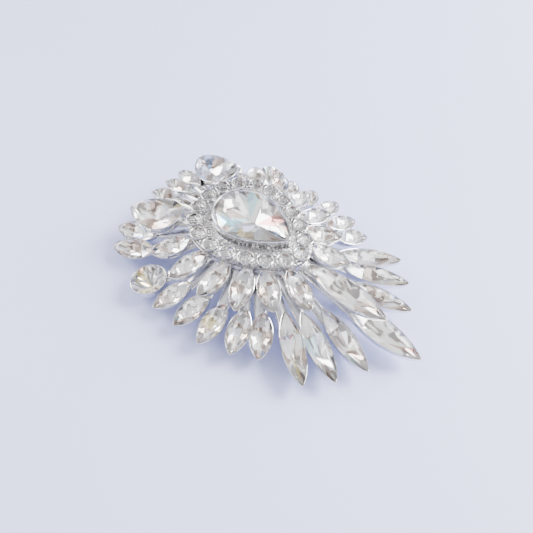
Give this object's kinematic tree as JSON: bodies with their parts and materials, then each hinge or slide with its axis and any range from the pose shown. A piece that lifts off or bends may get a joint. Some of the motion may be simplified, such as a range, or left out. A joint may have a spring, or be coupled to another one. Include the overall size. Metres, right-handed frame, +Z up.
{
  "type": "rhinestone hair clip",
  "caption": "Domed spray of pointed clear rhinestones in two tiers round a large pear stone and a halo, on a sprung alligator clip.",
  "frame": {"origin": "under the middle of the object, on the plane it stands on", "axes": "+X towards the pointed tail of the spray, +Z up through the centre stone, Y across"},
  "size_m": [0.0788, 0.0552, 0.019],
  "materials": {
    "crystal": "facet-cut clear stones with silvered backs",
    "plated_setting": "bright silver plate over a casting, polished rims and satin walls",
    "clip_steel": "plated stamped sheet",
    "pins": "plated",
    "spring_wire": "drawn wire"
  },
  "bodies": {
    "ornament": {"base_frame": "plated_setting", "centre_bezel": "plated_setting", "centre_stone": "crystal", "halo_chatons": "crystal", "halo_setting": "plated_setting", "head_navette": "crystal", "head_navette_side_left": "crystal", "head_navette_side_right": "crystal", "hinge_pin": "pins", "long_navette_1_left": "crystal", "long_navette_1_right": "crystal", "long_navette_2_left": "crystal", "long_navette_2_right": "crystal", "long_navette_3_left": "crystal", "long_navette_3_right": "crystal", "lower_navette_1_left": "crystal", "lower_navette_1_right": "crystal", "lower_navette_2_left": "crystal", "lower_navette_2_right": "crystal", "lower_navette_3_left": "crystal", "lower_navette_3_right": "crystal", "lower_navette_4_left": "crystal", "lower_navette_4_right": "crystal", "lower_navette_5_left": "crystal", "lower_navette_5_right": "crystal", "round_stone_left": "crystal", "round_stone_right": "crystal", "shoulder_navette_1_left": "crystal", "shoulder_navette_1_right": "crystal", "shoulder_navette_2_left": "crystal", "shoulder_navette_2_right": "crystal", "side_pear_left": "crystal", "side_pear_right": "crystal", "spring_fixed_half": "spring_wire", "tail_lower_stone": "crystal", "tail_upper_stone": "crystal", "tier_rivets": "pins", "upper_jaw": "clip_steel", "upper_navette_1_left": "crystal", "upper_navette_1_right": "crystal", "upper_navette_2_left": "crystal", "upper_navette_2_right": "crystal", "upper_navette_3_left": "crystal", "upper_navette_3_right": "crystal", "upper_navette_4_left": "crystal", "upper_navette_4_right": "crystal", "upper_navette_5_left": "crystal", "upper_navette_5_right": "crystal", "upper_navette_6_left": "crystal", "upper_navette_6_right": "crystal", "upper_tier": "plated_setting"},
    "jaw": {"lower_jaw": "clip_steel", "spring_moving_half": "spring_wire"}
  },
  "joints": [
    {"name": "jaw_hinge", "type": "hinge", "parent": "ornament", "child": "jaw", "pos_m": [-0.02055, 0, 0.0056], "axis": [0, 1, 0], "range_deg": [0, 28], "stiffness_Nm_per_rad": 0.08, "springref_deg": -68.75}
  ]
}
